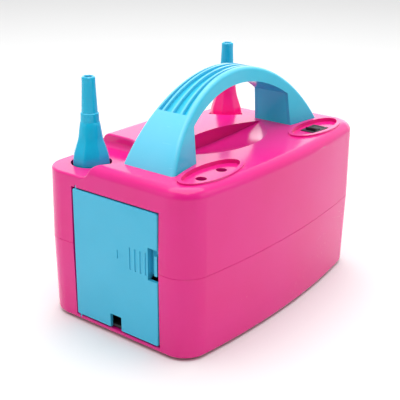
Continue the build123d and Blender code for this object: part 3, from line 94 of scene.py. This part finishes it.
class Wire:
    """A shader socket that Python sums can use: an expression on wires adds the Math nodes it needs."""

    def __init__(self, tree, socket):
        self.tree = tree
        self.socket = socket

    def make(self, kind, settings, inputs, output=0):
        """Adds a node of that kind with its settings, then gives its sockets their values or links."""
        node = self.tree.nodes.new("ShaderNode" + kind)
        for name, value in settings.items():
            setattr(node, name, value)
        for name, value in inputs.items():
            if isinstance(value, Wire):
                self.tree.links.new(value.socket, node.inputs[name])
            else:
                node.inputs[name].default_value = value
        return Wire(self.tree, node.outputs[output])

    def maths(self, operation, first, second=0.0):
        return self.make("Math", {"operation": operation}, {0: first, 1: second})

    def __add__(self, other):
        return self.maths("ADD", self, other)

    def __radd__(self, other):
        return self.maths("ADD", other, self)

    def __sub__(self, other):
        return self.maths("SUBTRACT", self, other)

    def __rsub__(self, other):
        return self.maths("SUBTRACT", other, self)

    def __mul__(self, other):
        return self.maths("MULTIPLY", self, other)

    def __rmul__(self, other):
        return self.maths("MULTIPLY", other, self)

    def __pow__(self, other):
        return self.maths("POWER", self, other)

    def step(self, low, high):
        """0 below low, 1 above high and a smooth turn between them."""
        return self.make("MapRange", {"interpolation_type": "SMOOTHSTEP"}, {0: self, 1: low, 2: high})

    def tint(self, low, high):
        """The colour between low and high that this value picks."""
        return self.make("Mix", {"data_type": "RGBA"}, {"Factor": self, 6: low, 7: high}, output=2)

    def part(self, axis):
        """One of a vector's three numbers."""
        return self.make("SeparateXYZ", {}, {"Vector": self}, output=axis)

    def along(self, direction):
        """How far a vector reaches in a direction."""
        return self.make(
            "VectorMath", {"operation": "DOT_PRODUCT"}, {0: self, 1: direction}, output="Value"
        )


class Finish:
    """A material with one Principled shader, whose sockets take constants or wires."""

    def __init__(self, name):
        self.material = bpy.data.materials.new(name)
        self.material.use_nodes = True
        tree = self.material.node_tree
        self.shader = tree.nodes["Principled BSDF"]
        self.start = Wire(tree, None)
        self.place = self.start.make("TexCoord", {}, {}, output="Object")

    def noise(self, scale, detail=2.0, roughness=0.5, place=None):
        return self.start.make(
            "TexNoise",
            {"noise_dimensions": "3D"},
            {"Vector": place or self.place, "Scale": scale, "Detail": detail, "Roughness": roughness},
        )

    def stretched(self, x, y, z):
        """The place with each axis scaled, so that a pattern on it runs long where the number is small."""
        return self.start.make("Mapping", {}, {"Vector": self.place, "Scale": (x, y, z)})

    def cells(self, scale):
        return self.start.make("TexVoronoi", {}, {"Vector": self.place, "Scale": scale}, output="Distance")

    def bump(self, heights, distance, strength=1.0, under=None):
        """The surface normal pushed by heights, on top of another bump if there is one."""
        inputs = {"Height": heights, "Distance": distance, "Strength": strength}
        if under:
            inputs["Normal"] = under
        return self.start.make("Bump", {}, inputs, output="Normal")

    def scuffs(self, scale, share):
        """Thin, mostly straight handling scratches that cover a small share of the surface."""
        lines = self.noise(scale, 2.0, 0.5, self.stretched(1.0, 0.12, 0.5))
        spread = self.noise(12.0, 2.0)
        return lines.step(0.70 - share, 0.78 - share) * spread.step(0.5, 0.65)

    def set(self, **sockets):
        for name, value in sockets.items():
            socket = self.shader.inputs[name.replace("_", " ")]
            if isinstance(value, Wire):
                self.start.tree.links.new(value.socket, socket)
            else:
                socket.default_value = value
        return self


# ---------------------------------------------------------------- finishes


CLOUD_SHARE = 0.35          # how far the flow clouds pull the colour towards its deep tint
SHADE_SHARE = 0.65          # how far the painted shade pulls grooves and inner faces towards the deep tint
GLOSS_ROUGHNESS = 0.12
GLOSS_IOR = 1.46
ORANGE_PEEL = 0.012 * MM
SCRATCH_DEPTH = 0.008 * MM


def gloss_plastic(name, colour, deep, shade=None):
    """Glossy injection-moulded plastic: faint flow clouds, orange peel, haze and hairline handling marks, and
    painted shade where a shade mask is given.
    """
    finish = Finish(name)
    clouds = finish.noise(18.0, 3.0)
    amount = clouds.step(0.3, 0.8) * CLOUD_SHARE
    # painted shade: the mask pulls the colour towards the deep tint where shade falls
    if shade:
        amount = amount + shade(finish) * SHADE_SHARE
    peel = finish.noise(260.0, 1.0)
    haze = finish.noise(70.0, 4.0, 0.6)
    scuffs = finish.scuffs(900.0, 0.03)
    dust = finish.noise(2400.0, 1.0).step(0.76, 0.82)
    return finish.set(
        Base_Color=amount.tint(colour, deep),
        Roughness=GLOSS_ROUGHNESS + haze * 0.08 + scuffs * 0.18 + dust * 0.12,
        Normal=finish.bump(scuffs, SCRATCH_DEPTH, 0.6, finish.bump(peel, ORANGE_PEEL)),
        IOR=GLOSS_IOR,
    )


# depths under the arch's outer face over which the painted shade fades in
GROOVE_FLOOR = 2.2 * MM
GROOVE_LIP = 0.4 * MM


def painted_shade_under_arch(finish):
    """Painted shade mask: 1 on the handle wherever it lies under the arch's outer face, which is groove floors
    and inner faces.
    """
    handle_low, handle_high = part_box("handle_top")
    half = handle_high[0]
    rise = handle_high[2] - handle_low[2]
    arch_r = (half ** 2 + rise ** 2) / (2 * rise)
    above_axis = finish.place.part("Z") - (handle_high[2] - arch_r)
    from_axis = (finish.place.part("X") ** 2.0 + above_axis ** 2.0) ** 0.5
    return 1.0 - from_axis.step(arch_r - GROOVE_FLOOR, arch_r - GROOVE_LIP)


def satin_plastic(name, colour, deep, roughness=0.42, grain_size=1500.0, depth=0.03 * MM):
    """Spark-eroded plastic: an even fine grain with rubbed, shinier patches."""
    finish = Finish(name)
    grain = finish.noise(grain_size, 3.0, 0.6)
    rubbed = finish.noise(35.0, 3.0).step(0.45, 0.7)
    clouds = finish.noise(50.0, 3.0)
    return finish.set(
        Base_Color=(clouds * 0.6 + grain * 0.4).tint(colour, deep),
        Roughness=roughness + grain * 0.15 - rubbed * 0.10,
        Normal=finish.bump(grain, depth),
    )


def rubber_compound(name, colour, deep):
    """Moulded rubber: matt, with a chalky bloom and fine pits."""
    finish = Finish(name)
    pits = finish.cells(900.0)
    bloom = finish.noise(60.0, 4.0, 0.6).step(0.45, 0.75)
    return finish.set(
        Base_Color=bloom.tint(colour, deep),
        Roughness=0.62 + bloom * 0.2,
        Normal=finish.bump(pits, 0.05 * MM),
    )


def open_foam(name, colour, deep):
    """Open-cell foam: painted shade in the pores between lighter cell walls."""
    finish = Finish(name)
    pores = finish.cells(700.0)
    big_pores = finish.cells(330.0)
    walls = pores.step(0.1, 0.5) * 0.6 + big_pores.step(0.1, 0.6) * 0.4
    return finish.set(
        # painted shade: the pores are coloured darker than the cell walls
        Base_Color=walls.tint(colour, deep),
        Roughness=0.95,
        Normal=finish.bump(1.0 - walls, 0.6 * MM),
    )


def plated_metal(name, colour, deep, roughness=0.22):
    """Zinc-plated or polished metal: fine drawn lines, fingerprints and dull patches."""
    finish = Finish(name)
    lines = finish.noise(1200.0, 3.0, 0.6, finish.stretched(1.0, 1.0, 0.04))
    dull = finish.noise(90.0, 4.0, 0.6).step(0.4, 0.75)
    return finish.set(
        Base_Color=(dull * 0.6 + lines * 0.25).tint(colour, deep),
        Roughness=roughness + lines * 0.12 + dull * 0.15,
        Metallic=1.0,
        Normal=finish.bump(lines, 0.01 * MM),
    )


def sheet_stack(name, colour, deep, sheet=0.5 * MM):
    """Pressed steel sheets stacked on each other: thin dark varnish lines between bright cut edges."""
    finish = Finish(name)
    turn = finish.place.part("Z") * (2 * pi / sheet)
    edge = turn.maths("SINE", turn).step(-0.2, 0.7)
    rust = finish.noise(140.0, 4.0, 0.6).step(0.5, 0.75)
    return finish.set(
        Base_Color=(1.0 - edge * (1.0 - rust * 0.6)).tint(colour, deep),
        Roughness=0.38 + rust * 0.3,
        Metallic=0.85,
        Normal=finish.bump(edge, 0.06 * MM),
    )


WINDING_RUN = (0.55, 0.35, 1.0)    # the direction across the strands


def wound_wire(name, colour, deep, strand=0.45 * MM):
    """Enamelled copper wire wound in strands: glossy amber over copper, with painted shade between the
    strands.
    """
    finish = Finish(name)
    wander = finish.noise(160.0, 2.0)
    turn = (finish.place.along(WINDING_RUN) + wander * (0.6 * strand)) * (2 * pi / strand)
    crown = turn.maths("SINE", turn).step(-0.9, 0.9)
    return finish.set(
        # painted shade: the colour is deep between the strands and lightest on their crowns
        Base_Color=crown.tint(deep, colour),
        Roughness=0.24 + wander * 0.12,
        Metallic=1.0,
        Normal=finish.bump(crown, 0.18 * MM),
        Coat_Weight=0.5,
    )


TEAL_PLASTIC = gloss_plastic("teal_nozzle_plastic", TEAL, TEAL_DEEP)
# handle: painted shade deepens its groove floors and inner faces
HANDLE_PAINTED_LIGHT_PLASTIC = gloss_plastic("blue_handle_painted_light_plastic", HANDLE_BLUE_AND_HIGHLIGHT, GROOVE_SHADE_AND_CLOUD_BLUE, painted_shade_under_arch)
LINER_PAINTED_LIGHT_PLASTIC = gloss_plastic("blue_liner_painted_light_plastic", UNDERSIDE_PAINTED_LIGHT_BLUE, GROOVE_SHADE_AND_CLOUD_BLUE)
BELL_PLASTIC = gloss_plastic("pink_bell_plastic", BELL_PINK, PINK_DEEP)
finishes = {
    "pink_plastic": gloss_plastic("pink_gloss_plastic", PINK, PINK_DEEP),
    "blue_plastic": gloss_plastic("blue_gloss_plastic", BLUE, BLUE_DEEP),
    "black_plastic": satin_plastic("black_satin_plastic", BLACK, CHARCOAL, 0.50),
    "grey_plastic": satin_plastic("grey_satin_plastic", GREY, GREY_DEEP, 0.45),
    "white_plastic": satin_plastic("white_satin_plastic", WHITE, WHITE_DEEP, 0.35),
    "rubber": rubber_compound("black_rubber", BLACK, CHARCOAL),
    "foam": open_foam("filter_foam", BLACK, CHARCOAL),
    "steel": plated_metal("plated_steel", STEEL, STEEL_DEEP),
    "lamination": sheet_stack("stacked_laminations", LAMINATION, LAMINATION_DEEP),
    "copper": wound_wire("enamelled_copper", COPPER, COPPER_DEEP),
    "carbon": satin_plastic("pressed_graphite", CHARCOAL, BLACK, 0.5, 2600.0),
    "bronze": plated_metal("sintered_bronze", BRONZE, BRONZE_DEEP, 0.35),
}

for name, node in nodes.items():
    finish = finishes[node.data.materials[0].name]
    if name == "handle_top":
        finish = HANDLE_PAINTED_LIGHT_PLASTIC
    # the underside takes the painted-light copy of the handle blue
    if name == "handle_underside":
        finish = LINER_PAINTED_LIGHT_PLASTIC
    # the nozzle tips take the deeper teal copy of the blue, partly painted shade
    if name in ("left_nozzle_tip", "right_nozzle_tip"):
        finish = TEAL_PLASTIC
    if name == "commutator":
        finish = plated_metal("commutator_copper", COPPER, COPPER_DEEP, 0.3)
    node.material_slots[0].link = "OBJECT"
    node.material_slots[0].material = finish.material


# ---------------------------------------------------------------- nozzle bells

BELL_STEPS = 96
FLATS = 8
CORNER_ROUND = 0.984        # share of the corner's radius where its rounding starts
FADE_START = 123.0          # height where the flats begin to turn round
FADE_END = 133.0
SHARP_TURN = radians(28)
MERGE = 0.01 * MM

# corner radius and height of the flare, foot to top, millimetres above the table
FLARE = (
    (13.4, 107.5), (13.5, 108.4), (13.35, 111.0), (13.1, 113.5), (12.6, 115.6), (12.0, 117.5),
    (11.3, 119.6), (10.6, 121.6), (9.85, 123.7), (9.1, 125.7), (8.35, 128.7), (7.75, 131.8),
    (7.2, 135.0), (6.7, 137.7), (6.45, 138.1),
)
SPIGOT_R = 4.3
BORE_R = 2.9
STEM_R = 7.5
STEM_BORE_R = 5.5
FLANGE_R = 8.6
SEAL_GROOVE_R = 6.0
FLARE_INSIDE_R = 5.59       # the bore lies inside this radius, the flare outside
STEM_TOP = 6.0              # a point no wider than the stem and this near the foot belongs to the stem
STEM_EASE = 1.01
BORE_STEP = 4.0             # the bore changes width this far from either end of the flare
FLANGE_GAP = 0.1            # between the stem's flange and the lid


def facet_pull(point):
    """How much nearer to the axis a point of the flare lies than on a round bell."""
    flat = 2 * pi / FLATS
    past_flat = (atan2(point.y, point.x) + pi) % flat
    off_middle = min(past_flat, flat - past_flat)
    return min(cos(flat / 2) / cos(off_middle), CORNER_ROUND)


def bell_piece(name, cad_name, seal_name, body, finish):
    """Nozzle bell: an eight-sided flare that turns round towards its top, with its spigot and stem.

    The finger under the left CAD bell, which presses the start switch, isn't part of this piece.
    """
    low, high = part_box(cad_name)
    lid_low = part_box("air_chamber_lid")[0]
    seal_low, seal_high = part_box(seal_name)
    axis_x = (seal_low[0] + seal_high[0]) / 2
    axis_y = (seal_low[1] + seal_high[1]) / 2
    foot_z = FLARE[0][1] * MM
    top_z = FLARE[-1][1] * MM
    flange_z = lid_low[2] - FLANGE_GAP * MM
    outline = [(r * MM, z * MM) for r, z in FLARE]
    outline += [
        (SPIGOT_R * MM, top_z), (SPIGOT_R * MM, high[2]), (BORE_R * MM, high[2]),
        (BORE_R * MM, top_z - BORE_STEP * MM), (STEM_BORE_R * MM, foot_z + BORE_STEP * MM),
        (STEM_BORE_R * MM, low[2]), (FLANGE_R * MM, low[2]),
        (FLANGE_R * MM, flange_z), (STEM_R * MM, flange_z),
        (STEM_R * MM, seal_low[2]), (SEAL_GROOVE_R * MM, seal_low[2]), (SEAL_GROOVE_R * MM, seal_high[2]),
        (STEM_R * MM, seal_high[2]), (STEM_R * MM, foot_z),
    ]
    mesh = bmesh.new()
    rim = [mesh.verts.new((r, 0.0, z)) for r, z in outline]
    edges = [mesh.edges.new(pair) for pair in zip(rim, rim[1:] + rim[:1])]
    bmesh.ops.spin(
        mesh, geom=rim + edges, cent=(0, 0, 0), axis=(0, 0, 1), angle=2 * pi, steps=BELL_STEPS, use_merge=True
    )
    bmesh.ops.remove_doubles(mesh, verts=mesh.verts, dist=MERGE)
    for vert in mesh.verts:
        out = hypot(vert.co.x, vert.co.y)
        on_flare = foot_z <= vert.co.z <= top_z and out > FLARE_INSIDE_R * MM
        on_stem = out <= STEM_R * MM * STEM_EASE and vert.co.z <= foot_z + STEM_TOP * MM
        if on_flare and not on_stem:
            share = min(max((vert.co.z / MM - FADE_START) / (FADE_END - FADE_START), 0.0), 1.0)
            pull = facet_pull(vert.co)
            pull += (1.0 - pull) * share * share * (3 - 2 * share)
            vert.co.x *= pull
            vert.co.y *= pull
    bmesh.ops.translate(mesh, verts=mesh.verts, vec=(axis_x, axis_y, 0.0))
    bmesh.ops.recalc_face_normals(mesh, faces=mesh.faces)
    for face in mesh.faces:
        face.smooth = True
    for edge in mesh.edges:
        if len(edge.link_faces) == 2 and edge.calc_face_angle() > SHARP_TURN:
            edge.smooth = False
    data = bpy.data.meshes.new(name)
    mesh.to_mesh(data)
    mesh.free()
    data.materials.append(finish.material)
    piece = bpy.data.objects.new(name, data)
    bpy.context.scene.collection.objects.link(piece)
    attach(piece, body)
    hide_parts(cad_name)
    return piece


bell_piece(
    "left_bell_moulding", "left_nozzle_bell", "left_nozzle_seal", "left_nozzle", TEAL_PLASTIC
)
bell_piece(
    "right_bell_moulding", "right_nozzle_bell", "right_nozzle_seal", "case", BELL_PLASTIC
)


# ---------------------------------------------------------------- nozzle spring

coils = bmesh.new()
coils.from_mesh(nodes["nozzle_spring"].data)
bmesh.ops.remove_doubles(coils, verts=coils.verts, dist=MERGE / 2)
spring_data = bpy.data.meshes.new("nozzle_coils")
coils.to_mesh(spring_data)
coils.free()
for polygon in spring_data.polygons:
    polygon.use_smooth = True
spring_data.materials.clear()
spring_data.materials.append(finishes["steel"].material)
spring = bpy.data.objects.new("nozzle_coils", spring_data)
bpy.context.scene.collection.objects.link(spring)
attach(spring, "case")
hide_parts("nozzle_spring")
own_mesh(spring)


# ---------------------------------------------------------------- camera

CAMERA_PLACE = (-0.46420, -0.33942, 0.29270)
CAMERA_YAW = radians(37.15)
CAMERA_PITCH = radians(-21.35)
CAMERA_ROLL = radians(0.72)
LENS = 74.4

camera_data = bpy.data.cameras.new("camera")
camera_data.lens = LENS
camera_data.sensor_width = 36.0
camera = bpy.data.objects.new("camera", camera_data)
bpy.context.scene.collection.objects.link(camera)
camera.matrix_world = (
    Matrix.Translation(CAMERA_PLACE)
    @ Euler((pi / 2 + CAMERA_PITCH, 0.0, CAMERA_YAW - pi / 2)).to_matrix().to_4x4()
    @ Matrix.Rotation(CAMERA_ROLL, 4, "Z")
)
bpy.context.scene.camera = camera
bpy.context.scene.view_settings.view_transform = "Standard"

# ---------------------------------------------------------------- floor and light

FLOOR_REACH = 6.0
BEHIND = (0.797, 0.604, 0.0)
ROOM_LIGHT = 0.72
BACK_LIGHT = 0.50
BAND_LIGHT = 0.9            # bright low band on the far side, which the glossy deck mirrors
BAND_SIDES = (0.55, 0.85)
BAND_HEIGHT = (0.24, 0.44)
LEAST_LIGHT = 0.1

floor_mesh = bmesh.new()
bmesh.ops.create_grid(floor_mesh, x_segments=1, y_segments=1, size=FLOOR_REACH)
floor_data = bpy.data.meshes.new("floor")
floor_mesh.to_mesh(floor_data)
floor_mesh.free()
floor = bpy.data.objects.new("floor", floor_data)
bpy.context.scene.collection.objects.link(floor)
floor_finish = Finish("pale_floor")
paper = floor_finish.noise(300.0, 3.0)
floor_finish.set(Base_Color=FLOOR, Roughness=0.8 + paper * 0.1)
floor_data.materials.append(floor_finish.material)

world = bpy.data.worlds.new("studio")
world.use_nodes = True
bpy.context.scene.world = world
sky = Wire(world.node_tree, None)
looking = sky.make("TexCoord", {}, {}, output="Generated")
behind = looking.along(BEHIND)
band = behind.step(*BAND_SIDES) * (1.0 - looking.part("Z").step(*BAND_HEIGHT))
room = ROOM_LIGHT + BACK_LIGHT * behind + band * BAND_LIGHT
background = world.node_tree.nodes["Background"]
background.inputs["Color"].default_value = (1.0, 1.0, 1.0, 1.0)
room = room.maths("MAXIMUM", room, LEAST_LIGHT)
world.node_tree.links.new(room.socket, background.inputs["Strength"])


def softbox(name, place, aim, size, power):
    data = bpy.data.lights.new(name, "AREA")
    data.shape = "RECTANGLE"
    data.size = size[0]
    data.size_y = size[1]
    data.energy = power
    lamp = bpy.data.objects.new(name, data)
    bpy.context.scene.collection.objects.link(lamp)
    turn = (Vector(aim) - Vector(place)).to_track_quat("-Z", "Y").to_matrix().to_4x4()
    lamp.matrix_world = Matrix.Translation(place) @ turn
    return lamp


OBJECT_MIDDLE = (0.0, 0.0, 0.08)
TOP_POWER = 20.0
SIDE_POWER = 1.5
softbox("top_softbox", (0.0, 0.0, 1.3), OBJECT_MIDDLE, (1.6, 1.6), TOP_POWER)
softbox("left_softbox", (-1.3, 0.5, 0.7), OBJECT_MIDDLE, (0.8, 1.0), SIDE_POWER)
softbox("right_softbox", (0.5, -1.3, 0.7), OBJECT_MIDDLE, (1.0, 0.8), SIDE_POWER)
